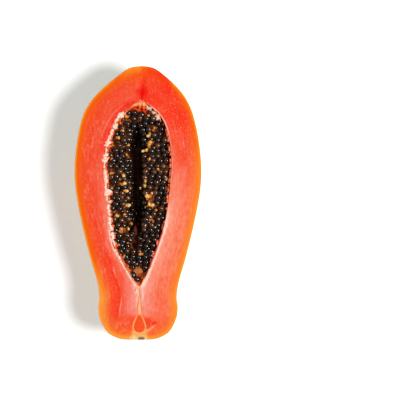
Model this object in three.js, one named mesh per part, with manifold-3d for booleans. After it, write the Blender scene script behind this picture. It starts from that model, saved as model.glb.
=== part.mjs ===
// Half of a ripe papaya, cut lengthwise through its axis and lying on its back, with its seeds in place.
// Millimetres, +Z up: the cut face looks up, the blossom end points to +Y and the stem end to -Y.
// The origin is at the middle of the footprint, on the surface that the fruit lies on.
import * as THREE from "three";
import { mergeVertices } from "three/addons/utils/BufferGeometryUtils.js";
import Module from "manifold-3d";

// Size and form of the fruit
const LENGTH = 240;
const HALF_WIDTH = 55.5;
const DEPTH_SHARE = 0.96; // depth of the half against its half width, at mid length
const DEPTH_LEAN = 0.0018; // how much that share falls for each millimetre towards the blossom end
const REST_PRESS = 1.4; // how deep the weight flattens the back where it lies
const LOBES = 5;
const LOBE_HEIGHT = 0.012; // share of the radius
const BLOSSOM_SWAY = 3.2; // the blossom tip stands this far to +X of the axis
const SWAY_FROM = 70;

// Outline of the fruit from the blossom tip to the stem end: half width, place along the axis
const OUTLINE = [
  [0, 120], [11, 118], [23, 109.5], [34.5, 99], [43, 88], [48.5, 76], [52.7, 58], [55.4, 34], [54.6, 12],
  [50, -14], [42.6, -45], [36, -68], [33.9, -82], [34.8, -92], [33.2, -102], [27.2, -113], [17.5, -118.6],
  [8, -119.9], [0, -120],
];

// Rim of the seed cavity on the cut face: place along the axis, left edge, right edge
const CAVITY_RIM = [
  [90.5, 3.9, 3.9], [84.5, -6, 11], [78.5, -15.2, 17.8], [68, -21.6, 24], [52, -28, 28], [33, -30.8, 29.4],
  [11, -28.6, 27.6], [-15, -25.9, 23.9], [-37, -22, 17], [-52, -13.8, 11.4], [-66, -6, 6.2], [-73.2, 1, 1],
];
const CAVITY_DEPTH_SHARE = 0.93;
const CAVITY_WALL_POWER = 0.72; // below 1 the walls stand steeper than an ellipse's

// The torn lip on the cavity's left side, which slopes in under the rim: wider towards the blossom end
const LIP = { narrow: 1.4, wide: 3.2, narrowAt: -45, wideAt: 30, drop: 5, share: 0.25 };

// Grooves in the cut face: the slit towards the stem and the crease towards the blossom tip
const NECK_SLIT = { x: 1.9, y: -81, halfLength: 17, halfWidth: 1.3, depth: 2.6 };
const CROWN_CREASE = { x: 4.6, y: 93, halfLength: 11, halfWidth: 2.6, depth: 3 };

// Seeds, and the two banks of placenta that they stand on
const SEED = { width: 5.4, length: 6.6, stand: 1.3, lean: 0.6, pitch: 5.4, jitter: 1.1, deepest: 16 };
const SEED_HEADROOM = 0.7; // the seeds stay this far under the cut face
const FIT_GAP = 0.45; // between the seed mass and the cavity's wall
const BED_DROP = 5.4; // the banks' tops lie this far under the cut face
const RIGHT_SINK = { depth: 2, from: 8, to: 26 }; // the right bank sinks this much more towards its wall
const FURROW = { x: -0.8, halfWidth: 6.6, shoulder: 3.2, from: -40, to: 73, fade: 14, floor: 3 };
const RANDOM_SEED = 20731;

// Facets, and the sizes of the cutting tools
const FRUIT_SIDES = 44;
const FRUIT_STATIONS = 40;
const CAVITY_SIDES = 32;
const CAVITY_STATIONS = 24;
const GROOVE_SIDES = 12;
const BED_COLUMNS = 12;
const BED_ROWS = 18;
const TOOL_MARGIN = 20;
const WALK_STEP = 0.05;
const SLOPE_PROBE = 0.2;

const wasm = await Module();
wasm.setup();

const smooth = (from, to, value) => THREE.MathUtils.smoothstep(value, from, to);

function randomNumbers(seed) {
  let state = seed;
  return () => {
    state = (Math.imul(state, 1664525) + 1013904223) >>> 0;
    return state / 2 ** 32;
  };
}

// A solid from a closed geometry
function asSolid(geometry) {
  geometry.deleteAttribute("normal");
  geometry.deleteAttribute("uv");
  const merged = mergeVertices(geometry, 1e-4);
  const mesh = new wasm.Mesh({
    numProp: 3,
    vertProperties: new Float32Array(merged.attributes.position.array),
    triVerts: new Uint32Array(merged.index.array),
  });
  return new wasm.Manifold(mesh);
}

// A named mesh from a solid
function asMesh(name, solid, material) {
  const { vertProperties, triVerts } = solid.getMesh();
  const geometry = new THREE.BufferGeometry();
  geometry.setAttribute("position", new THREE.BufferAttribute(vertProperties, 3));
  geometry.setIndex(new THREE.BufferAttribute(triVerts, 1));
  geometry.computeVertexNormals();
  const mesh = new THREE.Mesh(geometry, material);
  mesh.name = name;
  return mesh;
}

// Moves every vertex of a geometry by a function that changes the point it is given
function reshape(geometry, move) {
  const { position } = geometry.attributes;
  const point = new THREE.Vector3();
  for (let i = 0; i < position.count; i += 1) {
    move(point.fromBufferAttribute(position, i));
    position.setXYZ(i, point.x, point.y, point.z);
  }
  return geometry;
}

// The outline as evenly spaced points from the stem end to the blossom tip, for turning on the axis
const outline = new THREE.SplineCurve(OUTLINE.map(([x, y]) => new THREE.Vector2(x, y)))
  .getSpacedPoints(FRUIT_STATIONS)
  .reverse();

// Depth of the fruit's back under its axis, where it is that wide at a place along the axis
const backDepth = (halfWidth, y) => halfWidth * (DEPTH_SHARE - DEPTH_LEAN * y);
const CUT_Z = Math.max(...outline.map((p) => backDepth(p.x, p.y))) - REST_PRESS;

// The fruit before it was cut: turned on its axis, then given its depth, its lobes and its leaning tip
function wholeFruit() {
  return reshape(new THREE.LatheGeometry(outline, FRUIT_SIDES), (p) => {
    const radius = Math.hypot(p.x, p.z);
    const angle = Math.atan2(p.z, p.x);
    const lobe = 1 - LOBE_HEIGHT * (1 - Math.cos(LOBES * (angle + Math.PI / 2))) * Math.abs(Math.sin(angle));
    const sway = BLOSSOM_SWAY * smooth(SWAY_FROM, LENGTH / 2, p.y);
    p.x = sway + radius * Math.cos(angle);
    p.z = CUT_Z + backDepth(radius, p.y) * lobe * Math.sin(angle);
  });
}

const rimCurve = new THREE.CatmullRomCurve3(
  CAVITY_RIM.map(([y, left, right]) => new THREE.Vector3(left, y, right)),
);
const CAVITY_TOP = CAVITY_RIM[0][0];
const CAVITY_BOTTOM = CAVITY_RIM[CAVITY_RIM.length - 1][0];

// The cavity's middle, half width and depth at a place along the axis
function cavityAt(y) {
  let [near, far] = [0, 1];
  for (let halving = 0; halving < 30; halving += 1) {
    const middle = (near + far) / 2;
    if (rimCurve.getPoint(middle).y > y) near = middle;
    else far = middle;
  }
  const { x: left, z: right } = rimCurve.getPoint(near);
  const inside = y < CAVITY_TOP && y > CAVITY_BOTTOM;
  const halfWidth = inside ? Math.max(0, (right - left) / 2) : 0;
  return { middle: (left + right) / 2, halfWidth, depth: halfWidth * CAVITY_DEPTH_SHARE };
}

// How far the lip reaches in from the rim, where the cavity is that wide at a place along the axis
function lipWidth(halfWidth, y) {
  const width = THREE.MathUtils.lerp(LIP.narrow, LIP.wide, smooth(LIP.narrowAt, LIP.wideAt, y));
  return Math.min(LIP.share * halfWidth, width);
}

// The cavity's form, drawn in all round by a gap. It is closed above the cut face, as a mirror of itself.
function cavityForm(gap) {
  const turn = new THREE.EllipseCurve(0, 0, 1, (CAVITY_TOP - CAVITY_BOTTOM) / 2, -Math.PI / 2, Math.PI / 2);
  const profile = turn.getPoints(CAVITY_STATIONS).map((p, i) => {
    const atPole = i === 0 || i === CAVITY_STATIONS;
    return new THREE.Vector2(atPole ? 0 : 1, p.y + (CAVITY_TOP + CAVITY_BOTTOM) / 2);
  });
  return reshape(new THREE.LatheGeometry(profile, CAVITY_SIDES), (p) => {
    const { middle, halfWidth, depth } = cavityAt(p.y);
    const across = Math.sign(p.x) * Math.abs(p.x) ** CAVITY_WALL_POWER;
    const lip = p.x < 0 ? lipWidth(halfWidth, p.y) * smooth(0, LIP.drop, Math.abs(depth * p.z)) : 0;
    p.x = middle + Math.max(0, halfWidth - lip - gap) * across;
    p.z = CUT_Z + Math.max(0, depth - gap) * p.z;
  });
}

// A box over the whole footprint between two heights
function slab(low, high) {
  const box = new THREE.BoxGeometry(2 * HALF_WIDTH + TOOL_MARGIN, LENGTH + TOOL_MARGIN, high - low);
  return box.translate(0, 0, (low + high) / 2);
}

function groove({ x, y, halfLength, halfWidth, depth }) {
  const ball = new THREE.SphereGeometry(1, GROOVE_SIDES, GROOVE_SIDES);
  return ball.scale(halfWidth, halfLength, depth).translate(x, y, CUT_Z);
}

// Skin and flesh, which grew as one piece, with the open cavity
function fruitHalf() {
  const slabs = [slab(CUT_Z, 3 * CUT_Z), slab(-CUT_Z, 0)];
  const cuts = [...slabs, cavityForm(0), groove(NECK_SLIT), groove(CROWN_CREASE)];
  return cuts.reduce((solid, cut) => solid.subtract(asSolid(cut)), asSolid(wholeFruit()));
}

// How far the banks' top lies under the cut face. A deep furrow parts them.
function bedDrop(x, y) {
  const aside = Math.abs(x - FURROW.x);
  const across = 1 - smooth(FURROW.halfWidth - FURROW.shoulder, FURROW.halfWidth + FURROW.shoulder, aside);
  const start = smooth(FURROW.from, FURROW.from + FURROW.fade, y);
  const end = 1 - smooth(FURROW.to - FURROW.fade, FURROW.to, y);
  const furrow = across * start * end * Math.max(0, cavityAt(y).depth - FURROW.floor - BED_DROP);
  return BED_DROP + RIGHT_SINK.depth * smooth(RIGHT_SINK.from, RIGHT_SINK.to, x) + furrow;
}

// Everything above the banks, as one tool whose columns crowd towards the furrow
function aboveBed() {
  return reshape(new THREE.BoxGeometry(2, LENGTH, 1, BED_COLUMNS, BED_ROWS, 1), (p) => {
    p.x = FURROW.x + HALF_WIDTH * p.x * Math.abs(p.x);
    p.z = p.z > 0 ? 2 * CUT_Z : CUT_Z - bedDrop(p.x, p.y);
  });
}

// Where the seeds stand: rows across the cavity, with a seed for every pitch walked along the bed's surface
function seedPlaces() {
  const random = randomNumbers(RANDOM_SEED);
  const scatter = () => (random() - 0.5) * SEED.jitter;
  const places = [];
  const rowStep = SEED.pitch * Math.sin(Math.PI / 3);
  let row = 0;
  for (let y = CAVITY_BOTTOM + SEED.width / 2; y < CAVITY_TOP - SEED.width / 2; y += rowStep) {
    const { middle, halfWidth } = cavityAt(y);
    const reach = halfWidth - SEED.width / 2 - FIT_GAP;
    const first = middle - reach + lipWidth(halfWidth, y);
    let walked = row % 2 ? SEED.pitch / 2 : SEED.pitch;
    let last = bedDrop(first, y);
    for (let x = first; x <= middle + reach; x += WALK_STEP) {
      const drop = bedDrop(x, y);
      walked += Math.hypot(WALK_STEP, drop - last);
      last = drop;
      if (walked < SEED.pitch) continue;
      walked -= SEED.pitch;
      if (drop > SEED.deepest) continue;
      const [seedX, seedY, lift] = [x + scatter(), y + scatter(), scatter()];
      places.push({ x: seedX, y: seedY, lift, lean: random(), turn: 2 * Math.PI * random() });
    }
    row += 1;
  }
  return places;
}

// One seed, its root end sunk in the bed and its length leaning a little off the bed's normal
function seedAt({ x, y, lift, lean, turn }) {
  const slopeX = (bedDrop(x + SLOPE_PROBE, y) - bedDrop(x - SLOPE_PROBE, y)) / (2 * SLOPE_PROBE);
  const slopeY = (bedDrop(x, y + SLOPE_PROBE) - bedDrop(x, y - SLOPE_PROBE)) / (2 * SLOPE_PROBE);
  const normal = new THREE.Vector3(slopeX, slopeY, 1).normalize();
  const aside = new THREE.Vector3(Math.cos(turn), Math.sin(turn), 0).multiplyScalar(lean * SEED.lean);
  const up = new THREE.Vector3(0, 1, 0);
  const upright = new THREE.Quaternion().setFromUnitVectors(up, aside.add(normal).normalize());
  const centre = new THREE.Vector3(x, y, CUT_Z - bedDrop(x, y)).addScaledVector(normal, SEED.stand + lift);
  const ball = new THREE.IcosahedronGeometry(1, 0).rotateY(turn);
  ball.scale(SEED.width / 2, SEED.length / 2, SEED.width / 2);
  return ball.applyQuaternion(upright).translate(centre.x, centre.y, centre.z);
}

// The seed mass: the banks and their seeds in one body, clear of the cavity's wall and of the cut face
function seedMass() {
  const room = asSolid(cavityForm(FIT_GAP));
  const banks = room.subtract(asSolid(aboveBed()));
  const seeds = seedPlaces().map((place) => asSolid(seedAt(place)));
  const headroom = asSolid(slab(CUT_Z - SEED_HEADROOM, 3 * CUT_Z));
  const fused = wasm.Manifold.union([banks, ...seeds]).intersect(room).subtract(headroom);
  return fused.decompose().sort((a, b) => b.volume() - a.volume())[0];
}

const flesh = new THREE.MeshStandardMaterial({ color: 0xfb6038, roughness: 0.45, metalness: 0 });
const seedCoat = new THREE.MeshStandardMaterial({ color: 0x1a0f0a, roughness: 0.2, metalness: 0 });

const papaya = new THREE.Group();
papaya.add(asMesh("fruit_half", fruitHalf(), flesh));
papaya.add(asMesh("seeds", seedMass(), seedCoat));
export default papaya;
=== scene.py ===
import math

import bmesh
import bpy
import numpy as np
from mathutils import Euler, Matrix, Vector, kdtree, noise


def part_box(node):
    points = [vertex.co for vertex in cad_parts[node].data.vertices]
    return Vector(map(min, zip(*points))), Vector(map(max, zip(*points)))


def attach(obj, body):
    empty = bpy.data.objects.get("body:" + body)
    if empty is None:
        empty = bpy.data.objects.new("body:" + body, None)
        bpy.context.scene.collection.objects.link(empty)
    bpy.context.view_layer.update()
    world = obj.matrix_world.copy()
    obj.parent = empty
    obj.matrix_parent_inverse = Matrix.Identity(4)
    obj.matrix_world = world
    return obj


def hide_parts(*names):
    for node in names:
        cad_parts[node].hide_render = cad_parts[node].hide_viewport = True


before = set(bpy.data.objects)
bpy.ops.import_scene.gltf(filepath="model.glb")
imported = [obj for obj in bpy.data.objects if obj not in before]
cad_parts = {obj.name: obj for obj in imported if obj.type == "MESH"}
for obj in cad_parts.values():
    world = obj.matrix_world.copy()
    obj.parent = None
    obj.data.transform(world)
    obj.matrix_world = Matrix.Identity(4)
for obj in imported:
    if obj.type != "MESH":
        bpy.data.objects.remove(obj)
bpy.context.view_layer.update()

MM = 0.001

# The fruit's form, as its solids have it
fruit_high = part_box("fruit_half")[1]
CUT_Z = fruit_high.z / MM
HALF_LENGTH = fruit_high.y / MM
DEPTH_SHARE = 0.96  # depth of the half against its half width, at mid length
DEPTH_LEAN = 0.0018  # how much that share falls for each millimetre towards the blossom end
LOBES = 5
LOBE_HEIGHT = 0.012
BLOSSOM_SWAY = 3.2
SWAY_FROM = 70

# Outline from the stem end to the blossom tip: half width, place along the axis
OUTLINE = [
    (0, -120), (8, -119.9), (17.5, -118.6), (27.2, -113), (33.2, -102), (34.8, -92), (33.9, -82),
    (36, -68), (42.6, -45), (50, -14), (54.6, 12), (55.4, 34), (52.7, 58), (48.5, 76), (43, 88),
    (34.5, 99), (23, 109.5), (11, 118), (0, 120),
]

# Rim of the seed cavity from the stem side to the blossom side: place along the axis, left edge, right edge
CAVITY_RIM = [
    (-73.2, 1, 1), (-66, -6, 6.2), (-52, -13.8, 11.4), (-37, -22, 17), (-15, -25.9, 23.9), (11, -28.6, 27.6),
    (33, -30.8, 29.4), (52, -28, 28), (68, -21.6, 24), (78.5, -15.2, 17.8), (84.5, -6, 11), (90.5, 3.9, 3.9),
]
CAVITY_DEPTH_SHARE = 0.93
CAVITY_WALL_POWER = 0.72  # below 1 the walls stand steeper than an ellipse's

# The torn lip on the cavity's left side, wider towards the blossom end
LIP_NARROW, LIP_WIDE = 1.4, 3.2
LIP_NARROW_AT, LIP_WIDE_AT = -45, 30
LIP_DROP = 5
LIP_SHARE = 0.25  # of the cavity's half width, at most

# Grooves in the cut face: x, y, half length, half width, depth
NECK_SLIT = (1.9, -81, 17, 1.3, 2.6)
CROWN_CREASE = (4.6, 93, 11, 2.6, 3)
CREASE_SLANT, CREASE_SHIFT = 0.16, -1.3  # of the crease's middle on the fine cut face
CREASE_SHARE, SLIT_SHARE = 0.12, 0.06  # of their depth on the fine cut face: soft flesh fills the rest
RAGGED, RAGGED_SIZE = 0.9, 3.2  # how far the torn lip's edge wanders, and over what length

# The core of the neck, whose end is drop-shaped: half widths at places along the axis, from the stem scar on
CORE_X = 1.2
CORE_RELIEF = 0.3
CORE = [
    (-115.5, -1.4), (-114.1, -1), (-113.4, 1.6), (-112.7, 3.4), (-111.5, 4.5), (-109.3, 5.4),
    (-106.6, 5.2), (-103.9, 4.2), (-101.2, 3.2), (-98.6, 2.2), (-95.9, 2), (-91.4, 1.8),
    (-88.8, 1.3), (-85, 0.7), (-78.7, 0.4), (-70, 0.2),
]
PALE_BAND = [(-99, 1.6), (-94, 2.2), (-87, 3.2), (-80, 4.4), (-66, 6.8)]

# The banks of placenta under the seeds, and the furrow between them
BED_DROP = 5.4
RIGHT_SINK, SINK_FROM, SINK_TO = 2, 8, 26
FURROW_X, FURROW_HALF_WIDTH, FURROW_SHOULDER = -1.5, 7.5, 3
FURROW_WANDER, WANDER_LENGTH = 1.1, 11
FURROW_FROM, FURROW_TO, FURROW_FADE, FURROW_FLOOR = -40, 73, 14, 3
FIT_GAP = 0.45

# Seeds: their size, and how they stand on the banks
SEED_WIDTH, SEED_LENGTH = 5.4, 6.6
SEED_STAND, SEED_LEAN, SEED_PITCH, SEED_JITTER = 1.3, 0.6, 5.4, 1.1
SEED_SMALLEST, SEED_SPREAD = 1.02, 0.18  # least share of that size, and how much larger at most
SEED_TAPER, SEED_ROUGH, SEED_COARSE = 0.35, 0.08, 2
SEED_DEEPEST, FURROW_DEEPER = 16, 6  # where the first rows end, and how much deeper those in the furrow stand
SEED_HEADROOM = 0.7
UNDER_PITCH, UNDER_SHIFT, UNDER_STAND = 1.3 * SEED_PITCH, 0.5, -1.6  # the second layer of seeds
UNDER_PATCH, UNDER_FROM = 9, 0.1  # it stands in patches
WALL_PITCH, WALL_STEP = 3.9, 0.9  # seeds by the walls: least distance to others, and the steps tried
# Seeds at the cavity's ends: place, and middle under the cut face
END_SEEDS = [(-4.4, -63.2, 3.7), (-0.9, -67, 3.6), (3.4, 77.8, 4.6), (11.4, 79.4, 4.4)]
WALK_STEP = 0.05
SLOPE_PROBE = 0.2
RANDOM_SEED = 20731

# Fineness of the meshes
SIDES = 96  # round the back, from edge to edge
STATIONS = 360  # along the fruit
FACE_LOOPS = 44
WALL_LOOPS = 22
CURVE_SAMPLES = 4000
MERGE = 0.004


def smooth(start, end, value):
    share = min(1.0, max(0.0, (value - start) / (end - start)))
    return share * share * (3 - 2 * share)


def mixed(low, high, share):
    return low + (high - low) * share


def random_numbers(state):
    while True:
        state = (state * 1664525 + 1013904223) % 2**32
        yield state / 2**32


def spline(points, share):
    """The point at that share of the way along a smooth curve through the points."""
    last = len(points) - 1
    index = min(int(share * last), last - 1)
    part = share * last - index
    before, start, end, after = (points[min(max(index + k, 0), last)] for k in (-1, 0, 1, 2))
    point = []
    for p, a, b, q in zip(before, start, end, after):
        leave, arrive = (b - p) / 2, (q - a) / 2
        cubic = (2 * a - 2 * b + leave + arrive) * part**3
        square = (3 * b - 3 * a - 2 * leave - arrive) * part**2
        point.append(cubic + square + leave * part + a)
    return point


def evenly_spaced(points, count):
    """That many equal steps along the smooth curve through the points, with both ends."""
    fine = np.array([spline(points, share) for share in np.linspace(0, 1, CURVE_SAMPLES)])
    walked = np.concatenate([[0], np.cumsum(np.linalg.norm(np.diff(fine, axis=0), axis=1))])
    steps = np.linspace(0, walked[-1], count + 1)
    return np.stack([np.interp(steps, walked, column) for column in fine.T], axis=1)


outline = evenly_spaced(OUTLINE, STATIONS)
rim = evenly_spaced(CAVITY_RIM, STATIONS)
rim_ends = rim[0][0], rim[-1][0]


def back_depth(half_width, y):
    return half_width * (DEPTH_SHARE - DEPTH_LEAN * y)


def sway(y):
    return BLOSSOM_SWAY * smooth(SWAY_FROM, HALF_LENGTH, y)


def cavity_at(y):
    """The cavity's middle, half width and depth at a place along the axis."""
    left = float(np.interp(y, rim[:, 0], rim[:, 1]))
    right = float(np.interp(y, rim[:, 0], rim[:, 2]))
    inside = rim_ends[0] < y < rim_ends[1]
    half_width = (right - left) / 2 if inside else 0.0
    return (left + right) / 2, half_width, half_width * CAVITY_DEPTH_SHARE


def lip_width(half_width, y):
    width = mixed(LIP_NARROW, LIP_WIDE, smooth(LIP_NARROW_AT, LIP_WIDE_AT, y))
    return min(LIP_SHARE * half_width, width)


def cavity_point(y, angle, gap=0.0):
    """A point of the wall, by an angle from pi at the left rim, under the axis, to 2 pi at the right rim."""
    middle, half_width, depth = cavity_at(y)
    drop = max(0.0, depth - gap) * abs(math.sin(angle))
    lip = lip_width(half_width, y) * smooth(0, LIP_DROP, drop) if math.cos(angle) < 0 else 0.0
    across = math.copysign(abs(math.cos(angle)) ** CAVITY_WALL_POWER, math.cos(angle))
    return middle + max(0.0, half_width - lip - gap) * across, y, CUT_Z - drop


def bed_drop(x, y):
    """How far the banks' top lies under the cut face."""
    aside = abs(x - FURROW_X - FURROW_WANDER * noise.noise(Vector((4, y / WANDER_LENGTH, 0))))
    across = 1 - smooth(FURROW_HALF_WIDTH - FURROW_SHOULDER, FURROW_HALF_WIDTH + FURROW_SHOULDER, aside)
    start = smooth(FURROW_FROM, FURROW_FROM + FURROW_FADE, y)
    end = 1 - smooth(FURROW_TO - FURROW_FADE, FURROW_TO, y)
    furrow = across * start * end * max(0.0, cavity_at(y)[2] - FURROW_FLOOR - BED_DROP)
    return BED_DROP + RIGHT_SINK * smooth(SINK_FROM, SINK_TO, x) + furrow


# Finishes: node trees written as plain expressions

class Value:
    """A number on a finish's node tree. Arithmetic on it adds Math nodes."""

    def __init__(self, finish, socket):
        self.finish = finish
        self.socket = socket

    def math(self, operation, *operands):
        return self.finish.node("ShaderNodeMath", {"operation": operation}, dict(enumerate(operands)))

    def __add__(self, other):
        return self.math("ADD", self, other)

    def __sub__(self, other):
        return self.math("SUBTRACT", self, other)

    def __rsub__(self, other):
        return self.math("SUBTRACT", other, self)

    def __mul__(self, other):
        return self.math("MULTIPLY", self, other)

    def __truediv__(self, other):
        return self.math("DIVIDE", self, other)

    def __pow__(self, other):
        return self.math("POWER", self, other)

    def __abs__(self):
        return self.math("ABSOLUTE", self)

    __radd__ = __add__
    __rmul__ = __mul__

    def most(self, other):
        return self.math("MAXIMUM", self, other)

    def rises(self, start, end):
        """0 up to the start, 1 from the end, smooth between."""
        limits = {"Value": self, "From Min": start, "From Max": end}
        return self.finish.node("ShaderNodeMapRange", {"interpolation_type": "SMOOTHSTEP"}, limits)

    def falls(self, start, end):
        return 1 - self.rises(start, end)

    def within(self, start, full, ebb, end):
        """1 from the second place to the third, 0 before the first and after the fourth."""
        return self.rises(start, full) * self.falls(ebb, end)

    def near(self, middle, reach):
        """1 at the middle, falling smoothly to 0 that far off."""
        return abs(self - middle).falls(0, reach)


class Finish:
    """A material, its shader's constant settings, and what feeds it."""

    def __init__(self, name, **constants):
        self.colour = None
        self.material = bpy.data.materials.new(name)
        self.material.use_nodes = True
        self.tree = self.material.node_tree
        self.shader = self.tree.nodes["Principled BSDF"]
        self.place = self.scaled(self.node("ShaderNodeTexCoord", output="Object"), 1 / MM)
        self.x, self.y, self.z = (self.axis(self.place, name) for name in "XYZ")
        for socket, value in constants.items():
            self.shader.inputs[socket.replace("_", " ")].default_value = value

    def node(self, kind, settings=None, inputs=None, output=0):
        made = self.tree.nodes.new(kind)
        for name, value in (settings or {}).items():
            if name == "stops":
                self.set_stops(made.color_ramp.elements, value)
            elif name == "points":
                self.set_points(made.mapping, value)
            else:
                setattr(made, name, value)
        for name, value in (inputs or {}).items():
            self.feed(made.inputs[name], value)
        return Value(self, made.outputs[output])

    def feed(self, socket, value):
        if isinstance(value, Value):
            self.tree.links.new(value.socket, socket)
        else:
            socket.default_value = value

    def set_stops(self, elements, stops):
        while len(elements) < len(stops):
            elements.new(1)
        for element, (position, colour) in zip(elements, stops):
            element.position = position
            element.color = paint(*colour)

    def set_points(self, mapping, points):
        curve = mapping.curves[0]
        while len(curve.points) < len(points):
            curve.points.new(0.5, 0.5)
        for point, place in zip(curve.points, points):
            point.location = place
        mapping.update()

    def axis(self, vector, name):
        return self.node("ShaderNodeSeparateXYZ", inputs={"Vector": vector}, output=name)

    def scaled(self, vector, factor):
        return self.node("ShaderNodeVectorMath", {"operation": "SCALE"}, {0: vector, "Scale": factor})

    def joined(self, x, y, z):
        return self.node("ShaderNodeCombineXYZ", inputs={"X": x, "Y": y, "Z": z})

    def attribute(self, name):
        return self.node("ShaderNodeAttribute", {"attribute_name": name}, output="Fac")

    def noise(self, size, detail=2.0, roughness=0.5, stretch=(1, 1, 1), place=None):
        """Noise from 0 to 1 whose lumps are about that many millimetres, longer by the stretch."""
        inputs = {0: place or self.place, 1: tuple(1 / share for share in stretch)}
        vector = self.node("ShaderNodeVectorMath", {"operation": "MULTIPLY"}, inputs)
        values = {"Vector": vector, "Scale": 1 / size, "Detail": detail, "Roughness": roughness}
        return self.node("ShaderNodeTexNoise", inputs=values)

    def specks(self, size, share):
        """1 in small round specks that far apart, whose radius is that share of it."""
        values = {"Vector": self.place, "Scale": 1 / size}
        return self.node("ShaderNodeTexVoronoi", inputs=values, output="Distance").falls(share * 0.5, share)

    def curve(self, value, points):
        """A smooth curve through (value, result) points, for values in their range."""
        first, last = points[0][0], points[-1][0]
        results = [result for _, result in points]
        low, high = min(results), max(results)
        unit = [((at - first) / (last - first), (result - low) / (high - low)) for at, result in points]
        share = (value - first) / (last - first)
        drawn = self.node("ShaderNodeFloatCurve", {"points": unit}, {"Value": share})
        return drawn * (high - low) + low

    def ramp(self, value, stops):
        """Colours at values, mixed between."""
        last = stops[-1][0]
        unit = [(at / last, colour) for at, colour in stops]
        return self.node("ShaderNodeValToRGB", {"stops": unit}, {"Fac": value / last})

    def mix(self, factor, low, high):
        return self.node("ShaderNodeMix", {"data_type": "RGBA"}, {0: factor, 6: low, 7: high}, output=2)

    def cover(self, share, shade):
        """Lays a shade, as screen values or a colour of the tree, over the finish's colour."""
        over = paint(*shade) if isinstance(shade, tuple) else shade
        self.colour = self.mix(share, self.colour, over)

    def oval(self, x, y, half_width, half_length):
        """0 in the middle of an oval on the cut face, 1 on its line."""
        return ((self.x - x) / half_width) ** 2 + ((self.y - y) / half_length) ** 2

    def bump(self, height, depth, normal=None):
        """A normal from a height of 0 to 1 that stands for that many millimetres."""
        inputs = {"Height": height, "Distance": depth * MM}
        if normal:
            inputs["Normal"] = normal
        return self.node("ShaderNodeBump", inputs=inputs)

    def wear(self, roughness, normal):
        self.feed(self.shader.inputs["Base Color"], self.colour)
        self.feed(self.shader.inputs["Roughness"], roughness)
        self.feed(self.shader.inputs["Normal"], normal)
        return self.material


def paint(red, green, blue):
    """A colour from its 0 to 255 screen values."""
    def linear(level):
        share = level / 255
        return share / 12.92 if share <= 0.04045 else ((share + 0.055) / 1.055) ** 2.4
    return linear(red), linear(green), linear(blue), 1


# The fruit: skin, cut face and cavity wall in one closed mesh

EDGE_STEPS = [(0.14, 0.16), (0.45, 0)]  # in from the skin, under the cut face: the rounding of the cut edge
LIP_STEPS = [(0.3, 0), (0.08, 0.1)]  # out from the cavity's rim, under the cut face
MARKS = ("station", "from_skin", "from_cavity")  # kept on the mesh's vertices
OFF_FACE = 60  # stands for the way from the skin to the cavity
EDGE_DROP = 0.45
FACE_EASE, WALL_EASE = 0.11, 1.4
DENT, DENT_SIZE = 0.5, 14
SCAR_RADIUS, SCAR_SINK, SCAR_LUMP_SIZE = 7, 1.6, 1.5
WAVE, WAVE_SIZE = 0.14, 22  # of the cut face, where the knife went
GRAIN, GRAIN_SIZE = 0.05, 2.2
WALL_LUMP, WALL_LUMP_SIZE = 0.3, 2.5
SMOOTH_BELOW = math.radians(60)  # edges bent by less look rounded


def lumps(x, y, z, size, octaves=2):
    """Smooth lumps from -1 to 1, about that many millimetres across."""
    return noise.fractal(Vector((x, y, z)) / size, 0.8, 2.0, octaves)


def skin_point(unit):
    """The place on the skin of a point of the unit ball, whose poles are the fruit's ends."""
    share = 1 - math.acos(max(-1.0, min(1.0, unit.y))) / math.pi
    half_width, y = outline[round(share * STATIONS)]
    angle = math.atan2(unit.z, unit.x)
    lobe = 1 - LOBE_HEIGHT * (1 - math.cos(LOBES * (angle + math.pi / 2))) * abs(math.sin(angle))
    x = half_width * math.cos(angle)
    z = back_depth(half_width, y) * lobe * math.sin(angle)
    dent = DENT * (0.5 + 0.5 * lumps(x, y, z, DENT_SIZE)) * abs(math.sin(angle))
    shrink = 1 - min(dent / max(half_width, 1), 0.1)
    radius = math.hypot(x, z)
    sink = SCAR_SINK * (1 - smooth(SCAR_RADIUS * 0.75, SCAR_RADIUS, radius)) if y < 0 else 0.0
    sink *= 0.75 + 0.25 * lumps(x, y, z, SCAR_LUMP_SIZE)
    low_z = CUT_Z + z * shrink - (EDGE_DROP if abs(unit.z) < 1e-5 else 0)
    return Vector((sway(y) + x * shrink, y + sink, max(0.0, low_z)))


def groove(along, across, half_length, half_width):
    """A share from 1 in the groove's middle to 0 past its sides and ends."""
    return math.exp(-(across / half_width) ** 2) * (1 - smooth(half_length * 0.5, half_length, abs(along)))


def face_relief(x, y):
    """How far the cut face lies under its plane: its grooves and the knife's unevenness."""
    crease_x, crease_y, crease_length, crease_width, crease_depth = CROWN_CREASE
    slit_x, slit_y, slit_length, slit_width, slit_depth = NECK_SLIT
    crease_x += CREASE_SLANT * (y - crease_y) + CREASE_SHIFT
    crease = crease_depth * groove(y - crease_y, x - crease_x, crease_length * 1.4, crease_width * 1.3)
    slit = slit_depth * groove(y - slit_y, x - slit_x, slit_length, slit_width)
    uneven = WAVE * (1 + lumps(x, y, 0, WAVE_SIZE)) + GRAIN * (1 + lumps(x, y, 7, GRAIN_SIZE))
    outline_drop = CORE_RELIEF * (1 - smooth(0, 0.9, abs(core_side(x, y))))
    return CREASE_SHARE * crease + SLIT_SHARE * slit + uneven + outline_drop


def core_side(x, y):
    """Millimetres outside the core's edge, below 0 inside it."""
    places, widths = zip(*CORE)
    if not places[0] < y < places[-1]:
        return 9.0
    return abs(x - CORE_X) - float(np.interp(y, places, widths))


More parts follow.
